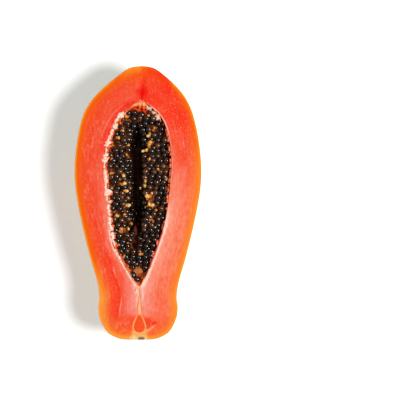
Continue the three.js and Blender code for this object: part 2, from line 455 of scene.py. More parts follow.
def ring_point(station, loop):
    """A point of the loops that run from the cut edge over the face and down the cavity's wall."""
    side = 1 if station >= 0 else -1
    place = abs(round(station))
    half_width, y = outline[place]
    outer = Vector((sway(y) + side * half_width, y, CUT_Z))
    inner = Vector((rim[place][2 if side > 0 else 1], rim[place][0], CUT_Z))
    if side < 0:
        wander = RAGGED * lumps(inner.x, inner.y, 3, RAGGED_SIZE, 3)
        inner.x += wander * min(1.0, cavity_at(inner.y)[1] / 8)
    span = (outer - inner).length
    inward = (inner - outer) / span
    if loop < len(EDGE_STEPS):
        step, drop = EDGE_STEPS[loop]
        return outer + inward * step - Vector((0, 0, drop))
    if loop < FACE_LOOPS:
        first, last = EDGE_STEPS[-1][0], span - LIP_STEPS[0][0]
        share = (loop - len(EDGE_STEPS) + 1) / (FACE_LOOPS - len(EDGE_STEPS))
        share -= FACE_EASE * math.sin(2 * math.pi * share)
        point = outer + inward * mixed(first, last, share)
        point.z -= face_relief(point.x, point.y)
        return point
    if loop < FACE_LOOPS + len(LIP_STEPS) - 1:
        step, drop = LIP_STEPS[loop - FACE_LOOPS + 1]
        point = inner - inward * step
        point.z -= drop + face_relief(point.x, point.y)
        return point
    share = (loop - FACE_LOOPS - len(LIP_STEPS) + 2) / WALL_LOOPS
    angle = math.pi / 2 * share**WALL_EASE
    angle = 2 * math.pi - angle if side > 0 else math.pi + angle
    x, y, z = cavity_point(rim[place][0], angle)
    x += (inner.x - rim[place][1]) * (1 - smooth(0, 3, CUT_Z - z)) if side < 0 else 0
    drop = CUT_Z - z
    x += WALL_LUMP * lumps(x, y, z, WALL_LUMP_SIZE, 3) * smooth(0.3, 3, drop)
    z -= face_relief(x, y) * (1 - smooth(0.5, 3, drop))
    return Vector((x, y, z))


def select_border(mesh):
    bpy.ops.mesh.select_all(action="DESELECT")
    bpy.ops.mesh.select_mode(type="EDGE")
    bpy.ops.mesh.select_non_manifold()
    return [vertex for vertex in bmesh.from_edit_mesh(mesh).verts if vertex.select]


def marks_of(mesh):
    return [mesh.verts.layers.float[name] for name in MARKS]


def make_fruit():
    bpy.ops.object.select_all(action="DESELECT")
    bpy.ops.mesh.primitive_uv_sphere_add(
        segments=2 * SIDES, ring_count=STATIONS, radius=1, rotation=(-math.pi / 2, 0, 0)
    )
    bpy.ops.object.transform_apply(location=False, rotation=True, scale=False)
    fruit = bpy.context.object
    fruit.name = fruit.data.name = "papaya_half"
    bpy.ops.object.mode_set(mode="EDIT")
    bpy.ops.mesh.select_all(action="SELECT")
    bpy.ops.mesh.bisect(plane_co=(0, 0, 0), plane_no=(0, 0, 1), clear_outer=True)
    mesh = bmesh.from_edit_mesh(fruit.data)
    for name in MARKS:
        mesh.verts.layers.float.new(name)
    border = select_border(fruit.data)
    mesh = bmesh.from_edit_mesh(fruit.data)
    station, from_skin, from_cavity = marks_of(mesh)
    for vertex in mesh.verts:
        vertex[from_skin] = -1
        vertex[from_cavity] = OFF_FACE
    for vertex in border:
        share = 1 - math.acos(max(-1.0, min(1.0, vertex.co.y))) / math.pi
        vertex[station] = math.copysign(round(share * STATIONS), vertex.co.x)
        vertex[from_skin] = 0
    for vertex in mesh.verts:
        vertex.co = skin_point(vertex.co) * MM
    bmesh.update_edit_mesh(fruit.data)
    skin_line, rim_line = near_line(skin_edge()), near_line(cavity_edge())
    for loop in range(FACE_LOOPS + len(LIP_STEPS) - 1 + WALL_LOOPS):
        bpy.ops.mesh.extrude_edges_move()
        mesh = bmesh.from_edit_mesh(fruit.data)
        station, from_skin, from_cavity = marks_of(mesh)
        for vertex in mesh.verts:
            if not vertex.select:
                continue
            point = ring_point(vertex[station], loop)
            vertex.co = point * MM
            vertex[from_skin] = skin_line.find((point.x, point.y, CUT_Z))[2]
            off_rim = rim_line.find(point)[2]
            vertex[from_cavity] = off_rim if loop < FACE_LOOPS else -off_rim
        bmesh.update_edit_mesh(fruit.data)
    bpy.ops.mesh.select_all(action="SELECT")
    bpy.ops.mesh.remove_doubles(threshold=MERGE * MM)
    bpy.ops.mesh.normals_make_consistent(inside=False)
    bpy.ops.object.mode_set(mode="OBJECT")
    bpy.ops.object.shade_smooth_by_angle(angle=SMOOTH_BELOW)
    fruit.data.attributes.remove(fruit.data.attributes["station"])
    return fruit


def skin_edge():
    points = evenly_spaced(OUTLINE, CURVE_SAMPLES)
    return [(sway(y) + side * half_width, y, CUT_Z) for half_width, y in points for side in (-1, 1)]


def cavity_edge():
    points = evenly_spaced(CAVITY_RIM, CURVE_SAMPLES)
    return [(x, y, CUT_Z) for y, *sides in points for x in sides]


def near_line(points):
    tree = kdtree.KDTree(len(points))
    for index, point in enumerate(points):
        tree.insert(point, index)
    tree.balance()
    return tree


# What lies in the cavity

BANK_COLUMNS, BANK_ROWS = 48, 170
BANK_SINK = 1.2  # the fine banks' top lies this much lower than the solid's, under a second layer of seeds
BANK_SIDE_DROP = 7
BANK_LUMP, BANK_LUMP_SIZE = 0.9, 3.5
PATCH_LUMP, PATCH_LUMP_SIZE = 0.5, 3
THINNEST = 0.05  # of the banks, over the cavity's wall

# Bare patches of the banks: x, y, half width, half length, how far their top lies under the cut face
BARE_PATCHES = [(-0.6, -60.8, 5.2, 4.6, 4.4), (-3.2, -29, 3.4, 13, 12.4)]
SEED_CLEAR = 0.7  # between a bare patch and the middle of a seed
SLOPE_BARE = (-1.5, 78.8)  # seeds end there on the right of the blossom end


def in_patch(x, y, patch, margin=0.0):
    """1 in the middle of a bare patch, 0 on its edge and below 0 outside it."""
    patch_x, patch_y, half_width, half_length, _ = patch
    return 1 - ((x - patch_x) / (half_width + margin)) ** 2 - ((y - patch_y) / (half_length + margin)) ** 2


def wall_z(x, y, gap):
    """The height of the cavity's wall over a place."""
    middle, half_width, depth = cavity_at(y)
    cosine = min(1.0, abs(x - middle) / max(half_width - gap, 0.01)) ** (1 / CAVITY_WALL_POWER)
    return CUT_Z - max(0.0, depth - gap) * math.sqrt(1 - cosine**2)


def bank_reach():
    """The places along the axis between which the cavity is deep enough for the banks."""
    inside = [y for y, *_ in rim if cavity_at(y)[2] > BANK_SIDE_DROP + FIT_GAP]
    return inside[0], inside[-1]


def make_banks():
    bpy.ops.object.select_all(action="DESELECT")
    bpy.ops.mesh.primitive_grid_add(x_subdivisions=BANK_COLUMNS, y_subdivisions=BANK_ROWS, size=2)
    banks = bpy.context.object
    banks.name = banks.data.name = "placenta_banks"
    first, last = bank_reach()
    bpy.ops.object.mode_set(mode="EDIT")
    mesh = bmesh.from_edit_mesh(banks.data)
    for vertex in mesh.verts:
        y = mixed(first, last, (vertex.co.y + 1) / 2)
        depth = cavity_at(y)[2] - FIT_GAP
        angle = math.asin(min(1.0, BANK_SIDE_DROP / depth))
        left, right = (cavity_point(y, turn, FIT_GAP)[0] for turn in (math.pi + angle, 2 * math.pi - angle))
        x = mixed(left, right, (vertex.co.x + 1) / 2)
        top = CUT_Z - bed_drop(x, y) - BANK_SINK + BANK_LUMP * lumps(x, y, 5, BANK_LUMP_SIZE, 3)
        for patch in BARE_PATCHES:
            bare_top = CUT_Z - patch[-1] + PATCH_LUMP * lumps(x, y, 2, PATCH_LUMP_SIZE)
            top = mixed(top, bare_top, smooth(0, 0.6, in_patch(x, y, patch)))
        vertex.co = Vector((x, y, max(top, wall_z(x, y, FIT_GAP) + THINNEST))) * MM
    bmesh.update_edit_mesh(banks.data)
    bpy.ops.mesh.select_all(action="SELECT")
    bpy.ops.mesh.extrude_region_move()
    mesh = bmesh.from_edit_mesh(banks.data)
    for vertex in mesh.verts:
        if vertex.select:
            x, y, _ = vertex.co / MM
            vertex.co.z = (wall_z(x, y, FIT_GAP) - 0.01) * MM
    bmesh.update_edit_mesh(banks.data)
    bpy.ops.mesh.select_all(action="SELECT")
    bpy.ops.mesh.normals_make_consistent(inside=False)
    bpy.ops.object.mode_set(mode="OBJECT")
    bpy.ops.object.shade_smooth_by_angle(angle=SMOOTH_BELOW)
    return banks


def seed_places(random, pitch, start_shift, stand, shallowest, deepest):
    """Rows across the cavity, with a seed for every pitch walked along the banks' surface."""
    places = []
    row_step = SEED_PITCH * math.sin(math.pi / 3)
    y, row = rim_ends[0] + SEED_WIDTH / 2 + start_shift * row_step, 0
    while y < rim_ends[1] - SEED_WIDTH / 2:
        middle, half_width, _ = cavity_at(y)
        reach = half_width - SEED_WIDTH / 2 - FIT_GAP
        x = middle - reach + lip_width(half_width, y)
        walked = pitch / 2 if (row + round(2 * start_shift)) % 2 else pitch
        last = bed_drop(x, y)
        while x <= middle + reach:
            drop = bed_drop(x, y)
            walked += math.hypot(WALK_STEP, drop - last)
            last = drop
            if walked >= pitch:
                walked -= pitch
                if shallowest < drop <= deepest:
                    moved = [(next(random) - 0.5) * SEED_JITTER + base for base in (x, y, stand)]
                    places.append((*moved, next(random), 2 * math.pi * next(random)))
            x += WALK_STEP
        y += row_step
        row += 1
    return places


def wall_places(random, others):
    """Seeds against the cavity's walls, where the rows leave room."""
    places = []
    y = rim_ends[0] + 3 * SEED_WIDTH
    while y < SLOPE_BARE[1]:
        middle, half_width, _ = cavity_at(y)
        reach = half_width - SEED_WIDTH / 2 - FIT_GAP
        for x in (middle - reach + lip_width(half_width, y), middle + reach):
            if all(math.hypot(x - other[0], y - other[1]) > WALL_PITCH for other in others + places):
                places.append((x, y, SEED_STAND, next(random), 2 * math.pi * next(random)))
        y += WALL_STEP
    return places


def seed_matrix(x, y, lift, lean, turn, size):
    """Stands a seed of unit radius on the banks, its length leaning a little off their normal."""
    slope_x = (bed_drop(x + SLOPE_PROBE, y) - bed_drop(x - SLOPE_PROBE, y)) / (2 * SLOPE_PROBE)
    slope_y = (bed_drop(x, y + SLOPE_PROBE) - bed_drop(x, y - SLOPE_PROBE)) / (2 * SLOPE_PROBE)
    normal = Vector((slope_x, slope_y, 1)).normalized()
    lean_way = Vector((math.cos(turn), math.sin(turn), 0)) * lean * SEED_LEAN
    centre = Vector((x, y, CUT_Z - bed_drop(x, y))) + normal * lift
    upright = Vector((0, 0, 1)).rotation_difference((normal + lean_way).normalized()).to_matrix().to_4x4()
    scale = Matrix.Diagonal((SEED_WIDTH / 2 * size, SEED_WIDTH / 2 * size, SEED_LENGTH / 2 * size, 1))
    return Matrix.Translation(centre) @ upright @ Matrix.Rotation(turn, 4, "Z") @ scale


def ball(subdivisions, taper):
    """Vertices and faces of a unit ball that narrows by the taper towards its root."""
    bpy.ops.object.select_all(action="DESELECT")
    bpy.ops.mesh.primitive_ico_sphere_add(subdivisions=subdivisions, radius=1)
    shape = bpy.context.object
    points = np.array([vertex.co for vertex in shape.data.vertices])
    faces = np.array([polygon.vertices[:] for polygon in shape.data.polygons])
    bpy.data.objects.remove(shape)
    points[:, :2] *= 1 - taper * (0.5 - 0.5 * points[:, 2:]) ** 2
    return points, faces


def copies(name, batches):
    """One mesh with a copy of a shape at every matrix. A batch is the shape, how rough and how coarse its
    surface is in millimetres, and its matrices and tones."""
    all_points, all_faces, all_tones = [], [], []
    count = 0
    for (points, faces), rough, coarse, placed in batches:
        for matrix, tone in placed:
            turned = points @ np.array(matrix.to_3x3()).T
            centre = np.array(matrix.translation)
            swell = [1 + rough * lumps(*(centre + point), coarse, 3) for point in turned]
            all_points.append(centre + turned * np.array(swell)[:, None])
            all_faces.append(faces + count)
            all_tones.append(np.full(len(points), tone))
            count += len(points)
    mesh = bpy.data.meshes.new(name)
    mesh.from_pydata((np.concatenate(all_points) * MM).tolist(), [], np.concatenate(all_faces).tolist())
    tones = mesh.attributes.new("tone", "FLOAT", "POINT")
    tones.data.foreach_set("value", np.concatenate(all_tones).astype(np.float32))
    mesh.shade_smooth()
    piece = bpy.data.objects.new(name, mesh)
    bpy.context.scene.collection.objects.link(piece)
    return piece


def is_bare(x, y):
    """Whether no seeds stand there: on the bare patches and on the slope at the blossom end."""
    slope_x, slope_y = SLOPE_BARE
    on_patch = any(in_patch(x, y, patch, SEED_CLEAR) > 0 for patch in BARE_PATCHES)
    return (x > slope_x and y > slope_y) or on_patch


def on_scrap(x, y):
    return any(math.hypot(x - scrap[0], y - scrap[1]) < scrap[3] * 0.5 + 0.9 for scrap in SCRAPS)


def make_seeds():
    random = random_numbers(RANDOM_SEED + 1)
    top = seed_places(random_numbers(RANDOM_SEED), SEED_PITCH, 0, SEED_STAND, 0, SEED_DEEPEST)
    deep = seed_places(random, SEED_PITCH, 0, SEED_STAND, SEED_DEEPEST, SEED_DEEPEST + FURROW_DEEPER)
    under = seed_places(random, UNDER_PITCH, UNDER_SHIFT, UNDER_STAND, 0, SEED_DEEPEST)
    under = [place for place in under if lumps(place[0], place[1], 3, UNDER_PATCH) > UNDER_FROM]
    walls = wall_places(random_numbers(RANDOM_SEED + 4), top)
    placed = []
    for x, y, lift, lean, turn in top + deep + under + walls:
        size = SEED_SMALLEST + SEED_SPREAD * next(random)
        tone = next(random)
        matrix = seed_matrix(x, y, lift, lean, turn, size)
        high = matrix.translation.z + SEED_LENGTH / 2 * size
        matrix.translation.z -= max(0.0, high - (CUT_Z - SEED_HEADROOM))
        if not is_bare(x, y) and (lift < 0 or not on_scrap(x, y)):
            placed.append((matrix, tone))
    for x, y, drop in END_SEEDS:
        scale = Matrix.Diagonal((SEED_WIDTH * 0.54, SEED_LENGTH / 2, SEED_WIDTH / 2, 1))
        placed.append((Matrix.Translation((x, y, CUT_Z - drop)) @ scale, next(random)))
    return copies("seed_heap", [(ball(2, SEED_TAPER), SEED_ROUGH, SEED_COARSE, placed)])


# Scraps of placenta that show between the seeds: place, length, width, turn of the bright end, brightness
SCRAPS = [
    (9.8, 60.7, 6.2, 3.4, 250, 0.85), (13.5, 65.4, 2.6, 2.2, 0, 0.6), (9.8, 50.6, 8, 4, 80, 0.65),
    (5.8, 46, 5.4, 2.4, 185, 1), (9.1, 38.3, 3, 2.6, 0, 0.8), (8.2, 76.4, 3.2, 2.2, 30, 0.7),
    (-9.2, 76.5, 4.6, 3.8, 200, 0.6), (-16.3, 69.8, 2.8, 2.4, 20, 0.5), (-14.9, 63.4, 4, 2.4, 0, 0.7),
    (-18.7, 57.1, 4.2, 3.2, 10, 0.65), (-9.9, 50.4, 4.4, 2.2, 10, 0.75), (-21.6, 50.4, 3.6, 1.6, 170, 0.3),
    (-24, 38.4, 3.2, 2.4, 0, 1), (-9.4, 41.4, 5, 2.6, 130, 0.4), (-22.6, 26, 4.2, 2.4, 170, 0.45),
    (-13.2, 25, 4, 3.4, 300, 1), (-14.3, 16.9, 7, 3.4, 0, 0.85), (-12.3, 10.6, 6.6, 3, 10, 0.95),
    (-10.9, -2.5, 7.4, 3.4, 5, 1), (6.2, 20.6, 4.6, 3, 250, 0.7), (5, 15.2, 3.8, 3.6, 0, 0.9),
    (1.8, 12.6, 2.4, 1.9, 90, 0.8), (7.5, 4.2, 5, 2.6, 80, 0.7), (23.6, 20.5, 5.4, 2.6, 10, 1),
    (9.5, 5.3, 6, 4, 170, 0.8), (9.5, -2.4, 8, 3.2, 10, 0.85), (14.8, -6.5, 3.4, 2.2, 40, 0.4),
    (-19.6, -11.8, 5.2, 3.8, 20, 0.85), (-12.4, -10.9, 3.6, 2.6, 60, 0.5), (-7.1, -18.1, 3.6, 2.6, 0, 0.4),
    (-15.4, -24.8, 6, 4.4, 90, 0.45), (-9.4, -22.2, 3.4, 2.8, 330, 1), (11.2, -15, 3.6, 2.2, 180, 0.3),
    (15.7, -21.2, 4, 2, 60, 0.5), (-9.8, -35.6, 2.4, 2, 0, 0.9), (3.2, -44.5, 5, 3.2, 200, 0.45),
    (-12.9, -48.1, 5.6, 4, 60, 0.45), (-9.8, -55.4, 3, 2.2, 0, 0.6),
    (3.4, -66.4, 3.4, 2.2, 60, 0.4), (-17.4, -37, 3, 2.2, 30, 0.45), (22.4, 68.6, 2.6, 1.8, 110, 0.5),
    (24.6, 60.7, 2.6, 1.8, 90, 0.4), (26, 49.6, 3.4, 2.2, 90, 0.4), (17.6, 29, 3.6, 2.2, 120, 0.5),
    (8.1, 47.8, 5, 3, 230, 0.9), (11.6, 7.6, 3.6, 2, 60, 0.9), (9.6, 0.6, 4.4, 2.4, 280, 0.95),
    (7.2, -3.4, 3, 2.2, 200, 0.8),
]
SCRAP_TOP, SCRAP_ARCH = 2.6, 2.2  # the bright end's drop, and how much deeper the dark end lies
SCRAP_BEADS, SCRAP_TILT = 5, 1.2
SCRAP_TAPER, SCRAP_ROUGH, SCRAP_COARSE = 0.2, 0.34, 1.2


def make_scraps():
    """Each scrap is a lumpy peg, bright at its thick end and darker down to where it leaves the bank deep
    among the seeds: painted shade.
    """
    random = random_numbers(RANDOM_SEED + 2)
    placed = []
    for x, y, length, width, turn, brightness in SCRAPS:
        drop = min(bed_drop(x, y), BED_DROP + 3) - BED_DROP + SCRAP_TOP
        along = Vector((math.cos(math.radians(turn)), math.sin(math.radians(turn)), 0))
        for bead in range(SCRAP_BEADS):
            share = bead / (SCRAP_BEADS - 1)
            side = Vector((-along.y, along.x, 0)) * (next(random) - 0.5) * width * 0.35
            centre = Vector((x, y, CUT_Z - drop - SCRAP_ARCH * (1 - share) ** 2))
            centre += side + along * length * (share - 0.5) * 0.7
            tilt_x, tilt_y = ((next(random) - 0.5) * SCRAP_TILT for _ in range(2))
            tilt = Euler((tilt_x, tilt_y, math.radians(turn)))
            size = (0.5 + 0.5 * share) * (0.8 + 0.4 * next(random))
            scale = Matrix.Diagonal((length * 0.28 * size, width * 0.5 * size, 0.46 * width * size, 1))
            matrix = Matrix.Translation(centre) @ tilt.to_matrix().to_4x4() @ scale
            # Painted shade: the tone falls towards the root
            placed.append((matrix, share * brightness))
    return copies("placenta_scraps", [(ball(2, SCRAP_TAPER), SCRAP_ROUGH, SCRAP_COARSE, placed)])


# Teeth of the torn white lining along the cavity's edge: place, length along the edge, width
TEETH = [
    (17.4, 75, 4, 3.2), (13.6, 79.4, 2.6, 2), (9.4, 83, 3, 2),
    (-14.8, 77.4, 5.4, 3.4), (-18.9, 73.2, 4.6, 1.8), (-20.3, 67.4, 4.2, 2.6), (-23.2, 62.4, 5.8, 2.5),
    (-25.3, 57.3, 4.4, 2.3), (-26.7, 51.8, 4.8, 3), (-28.2, 45, 6.2, 2.8), (-28.8, 39.6, 6, 2.5),
    (-29.6, 33, 5.6, 1.6), (-28.8, 26.8, 4.4, 2.2), (-28.4, 21.3, 5.2, 2.6), (-28.4, 15.2, 4.8, 1.5),
    (-27, 9.5, 5, 3.2),
    (-27.2, 3.9, 4.2, 1.7), (-25.4, 0.9, 2, 2.6), (-26.2, -4.6, 5.4, 2.3), (-25.5, -9, 4.4, 1.8),
    (-25.2, -15.4, 5.4, 2.3), (-23.7, -21.8, 5.2, 2.6), (-22.6, -28.8, 5.6, 2.2), (-21.4, -35.2, 4.8, 1.5),
    (-19, -42.6, 4.6, 1.3), (-16.6, -47.2, 4.2, 2), (-14, -53, 5, 1.2), (-11, -58.6, 5, 1.2),
    (-7.8, -63.8, 5, 1.1),
]
TOOTH_FLAKES, SHREDS = 6, 4  # in each tooth, and red ones below it
TOOTH_SPREAD, TOOTH_GROUP = 1.1, 7  # how much the teeth's width changes along the edge, and over what length
TOOTH_DROP, SHRED_DROP = 0.42, 1.3  # under the cut face
TOOTH_TAPER, TOOTH_ROUGH, TOOTH_COARSE = 0.1, 0.42, 1.1
WALL_SHREDS, SHREDS_FROM, SHREDS_TO = 34, -54, 66  # red shreds on the cavity's right wall


def make_lining():
    """The torn white lining on the lip, as teeth of small flakes that overlap."""
    random = random_numbers(RANDOM_SEED + 3)
    placed = []
    for x, y, length, width in TEETH:
        side = math.copysign(1, x)
        edges = [cavity_at(y + step)[0] + side * cavity_at(y + step)[1] for step in (-1, 0, 1)]
        lean = math.atan2(edges[0] - edges[2], 2)
        along = Vector((-math.sin(lean), math.cos(lean), 0))
        width *= max(0.5, 1.05 + TOOTH_SPREAD * lumps(0, y, 0, TOOTH_GROUP, 1))
        for flake in range(TOOTH_FLAKES + SHREDS):
            is_tooth = flake < TOOTH_FLAKES
            share = (flake + 0.5) / TOOTH_FLAKES - 0.5 if is_tooth else next(random) - 0.5
            aside = (next(random) - 0.5) * width * 0.5 - (0 if is_tooth else side * (1.2 + next(random)))
            place = Vector((x + aside, y, 0)) + along * share * length
            drop = TOOTH_DROP if is_tooth else SHRED_DROP
            drop += 0.3 * max(0.0, side * (edges[1] - place.x))
            slant = math.radians(10 + 16 * (next(random) - 0.5))
            tilt = Euler((0, -side * slant, lean + (next(random) - 0.5)))
            size = 0.7 + (0.9 if is_tooth else 0.6) * next(random)
            scale = Matrix.Diagonal((max(width, 1.2) * 0.52 * size, length * 0.19 * size, 0.4 * size, 1))
            place.z = CUT_Z - drop
            tone = 0.6 + 0.4 * next(random) if is_tooth else 0.35 * next(random)
            placed.append((Matrix.Translation(place) @ tilt.to_matrix().to_4x4() @ scale, tone))
    for _ in range(WALL_SHREDS):
        y = mixed(SHREDS_FROM, SHREDS_TO, next(random))
        wall_x = sum(cavity_at(y)[:2])
        place = Vector((wall_x - 0.5 - 0.6 * next(random), y, CUT_Z - 1 - 1.6 * next(random)))
        size = 0.7 + 0.7 * next(random)
        scale = Matrix.Diagonal((1.1 * size, 2 * size, 0.8 * size, 1))
        placed.append((Matrix.Translation(place) @ scale, 0.35 * next(random)))
    return copies("torn_lining", [(ball(2, TOOTH_TAPER), TOOTH_ROUGH, TOOTH_COARSE, placed)])


# Pale strands in the cavity's ends: their points, and their thickness in the middle
STRANDS = [
    ([(2.6, 90.5, 0.2), (-0.6, 87.6, 0.4), (-4.2, 85.6, 0.7), (-6.8, 83.6, 1.4)], 1.9),
    ([(0.8, 87.6, 0.7), (-1.6, 86.2, 0.7), (-3.8, 85, 1.1)], 1.8),
    ([(3.4, 90, 0.6), (1, 86.8, 1.2), (-1.8, 84.4, 1.9)], 1.2),
    ([(7, 88.4, 0.4), (10.6, 85.6, 0.6), (14.2, 81.6, 0.8), (17.4, 77.4, 1.1)], 1.0),
    ([(6.4, 87.6, 0.8), (8.2, 84.4, 1.6), (10.4, 82, 2.2)], 1.2),
    ([(9, 84.8, 1.4), (9.8, 82.8, 1.8), (11.8, 80.6, 2.2)], 1.5),
    ([(4.4, 90, 1.4), (4.8, 86, 2.8), (4.2, 80.6, 5)], 3.4),
    ([(4.8, 89.2, 1.8), (7, 85.4, 3), (7.6, 81, 4.8)], 3.2),
    ([(4, 89.2, 1.8), (1.6, 85.6, 3), (1.4, 82.2, 4.6)], 3),
    ([(-8.2, 81.6, 0.9), (-12, 78.6, 1.2), (-15.4, 75.4, 1.5)], 1.0),
    ([(14.4, 80.2, 1.2), (17.6, 76, 1.5), (20.4, 71, 2.4)], 1.4),
    ([(-4.2, -67.6, 0.5), (-1.2, -71, 0.5), (0.6, -75.4, 0.5)], 1.0),
    ([(6.6, -64, 0.5), (3.8, -69.6, 0.5), (2, -74.6, 0.5)], 1.0),
    ([(-6.4, -64.4, 0.7), (-3, -69, 0.6), (-0.6, -72.6, 0.4)], 0.9),
]
STRAND_POINTS = 18


def make_strands():
    bpy.ops.object.select_all(action="DESELECT")
    drawn = bpy.data.curves.new("cavity_strands", "CURVE")
    drawn.dimensions = "3D"
    drawn.bevel_depth = MM / 2
    drawn.bevel_resolution = 3
    drawn.use_fill_caps = True
    for points, thickness in STRANDS:
        line = drawn.splines.new("POLY")
        line.points.add(STRAND_POINTS - 1)
        for index, point in enumerate(line.points):
            share = index / (STRAND_POINTS - 1)
            x, y, drop = spline(points, share)
            x += 0.35 * lumps(x, y, 1, 2)
            drop += 0.2 * lumps(x, y, 9, 2)
            point.co = (x * MM, y * MM, (CUT_Z - drop) * MM, 1)
            point.radius = thickness * (0.25 + 0.75 * math.sin(math.pi * share))
    strands = bpy.data.objects.new("cavity_strands", drawn)
    bpy.context.scene.collection.objects.link(strands)
    strands.select_set(True)
    bpy.context.view_layer.objects.active = strands
    bpy.ops.object.convert(target="MESH")
    strands.data.shade_smooth()
    return strands


# Finishes of the papaya's own parts, with colours as screen values from 0 to 255

# Lines in the flesh: place along the axis, place across
RED_VEIN = [
    (-102, -18.4), (-94, -18), (-86, -16.8), (-78, -16.6), (-70, -19.4), (-60, -22.8), (-48, -26.2),
    (-36, -31),
]
PALE_ARC = [(54, -33.4), (64, -29.8), (77, -22.8), (84, -15.5), (88, -8.8)]
STEM_ARC = [(7, -112.4), (10, -111), (13.1, -108.6), (16, -106.4), (18, -104)]  # across, along


class Flesh(Finish):
    """The flesh's finish, with the noises and the parts of the cut face that its layers share."""

    def __init__(self):
        super().__init__(
            "flesh", Specular_IOR_Level=0.06, Coat_Weight=0.03, Coat_Roughness=0.2,
            Subsurface_Weight=0.08, Subsurface_Scale=0.003,
        )
        x, y = self.x, self.y
        self.from_skin, self.from_cavity = self.attribute("from_skin"), self.attribute("from_cavity")
        self.patches = (self.noise(17, 3) - 0.5) * 2
        self.clouds = (self.noise(5, 3, 0.6) - 0.5) * 1.8
        self.blotches = self.noise(2.2, 3, 0.6, (1, 1.7, 1)) - 0.5
        self.fibres = self.noise(1.5, 3, 0.6, (1, 6, 1)) - 0.5
        self.threads = self.noise(0.8, 3, 0.6, (1, 7, 1)) - 0.5
        self.grain = self.noise(0.9, 3, 0.6) - 0.5
        self.streaks = self.noise(1.6, 3, 0.6, place=self.joined(self.from_skin, y * 0.1, 0)) - 0.5
        self.neck, self.crown = y.falls(-84, -44), y.rises(50, 78)
        self.left, self.right = x.falls(-4, 2), x.rises(0, 5)
        self.inner = self.from_skin.rises(2.5, 8)
        self.red_corner = self.right * y.rises(98, 106) * x.within(6, 10, 24, 32)
        crease_x, crease_y, *_ = CROWN_CREASE
        about_crease = self.oval(crease_x + CREASE_SHIFT + 0.5, crease_y + 3.4, 6.4, 10) ** 0.5
        self.in_crease = (about_crease + self.clouds * 0.5).falls(0.1, 1.3)


def edge_gradient(flesh):
    """From the golden edge to the red flesh."""
    y, from_skin, streaks, neck, right = flesh.y, flesh.from_skin, flesh.streaks, flesh.neck, flesh.right
    shift = flesh.patches * 4 * from_skin.rises(1, 8) + streaks * 2.4
    flesh.colour = flesh.ramp(from_skin + shift + flesh.red_corner * 3, [
        (0, (252, 168, 44)), (0.9, (249, 136, 18)), (1.8, (248, 106, 6)), (2.8, (247, 92, 2)),
        (4.6, (247, 90, 14)), (6.5, (247, 78, 18)), (10.5, (246, 71, 30)), (16, (246, 79, 44)),
        (24, (247, 84, 52)),
    ])
    wide_edge = neck.most(right * y.falls(20, 70) * 0.6) * (1 - right * neck * 0.25)
    flesh.cover(from_skin.falls(0.5, 14) * wide_edge * (0.85 + streaks * 1.5), (252, 158, 60))


def crown_reds(flesh):
    """Red on the right, orange at the top, and red beside the torn lip."""
    x, y, clouds = flesh.x, flesh.y, flesh.clouds
    off_edge = (flesh.from_skin + flesh.red_corner * 4).rises(2.5, 6)
    flesh.cover(flesh.crown * flesh.right * (0.7 + flesh.patches * 1.4) * off_edge, (250, 46, 4))
    top = y.rises(100, 112) * x.falls(6, 12)
    flesh.cover(top * (0.6 + clouds), (251, 92, 2))
    gold_top = x.within(-18, -6, 1, 5) * y.rises(90, 100) * flesh.from_skin.falls(0.6, 8)
    flesh.cover(gold_top * 0.85, (253, 148, 24))
    by_lip = flesh.left * flesh.from_cavity.falls(1, 10) * y.within(36, 56, 88, 96)
    flesh.cover(by_lip * (0.75 + clouds), (248, 38, 6))


def pink_flesh(flesh):
    """Salmon flesh with a painted sheen on the right, salmon beside the lining, and pink flesh about the core
    of the neck.
    """
    y, clouds, fibres, right = flesh.y, flesh.clouds, flesh.fibres, flesh.right
    lower = y.falls(-20, 50)
    # Painted sheen: the right side is lighter and pinker, partly the flesh's own paler colour
    salmon_and_sheen = right * lower * flesh.from_skin.rises(3, 10) * (1 - flesh.neck * 0.3)
    flesh.cover(salmon_and_sheen * (0.54 + clouds * 0.4), (250, 148, 110))
    pink_and_sheen_by_cavity = right * flesh.from_cavity.falls(3, 17) * lower * y.rises(-76, -50).most(0.6)
    flesh.cover(pink_and_sheen_by_cavity * (0.78 + fibres + clouds * 0.4), (250, 156, 128))
    by_lining = flesh.left * flesh.from_cavity.falls(0.5, 7) * y.falls(-10, 40)
    flesh.cover(by_lining * (0.55 + fibres + clouds * 0.5), (250, 150, 124))
    near_core = abs(flesh.x - CORE_X).falls(3, 17) * y.within(-101, -95, -70, -58)
    flesh.cover(near_core * (0.75 + fibres + clouds * 0.5), (249, 152, 136))
    stem_end = y.falls(-104, -97) * flesh.from_skin.rises(2, 6)
    flesh.cover(stem_end * (0.6 + clouds), (248, 84, 26))


def mottling(flesh):
    """Streaks that follow the outline, and blotches."""
    streaks, blotches, inner = flesh.streaks, flesh.blotches, flesh.inner
    pale, deep_red = (255, 206, 184), (246, 34, 8)
    streaked = inner * flesh.y.within(-100, -84, 56, 88)
    flesh.cover(streaks.rises(0.02, 0.24) * streaked * 0.2, pale)
    flesh.cover(streaks.falls(-0.24, -0.02) * streaked * 0.42, deep_red)
    flesh.cover(blotches.rises(0.02, 0.22) * inner * (1 - flesh.crown * 0.4) * 0.17, pale)
    flesh.cover(blotches.falls(-0.22, -0.02) * inner * 0.34, deep_red)


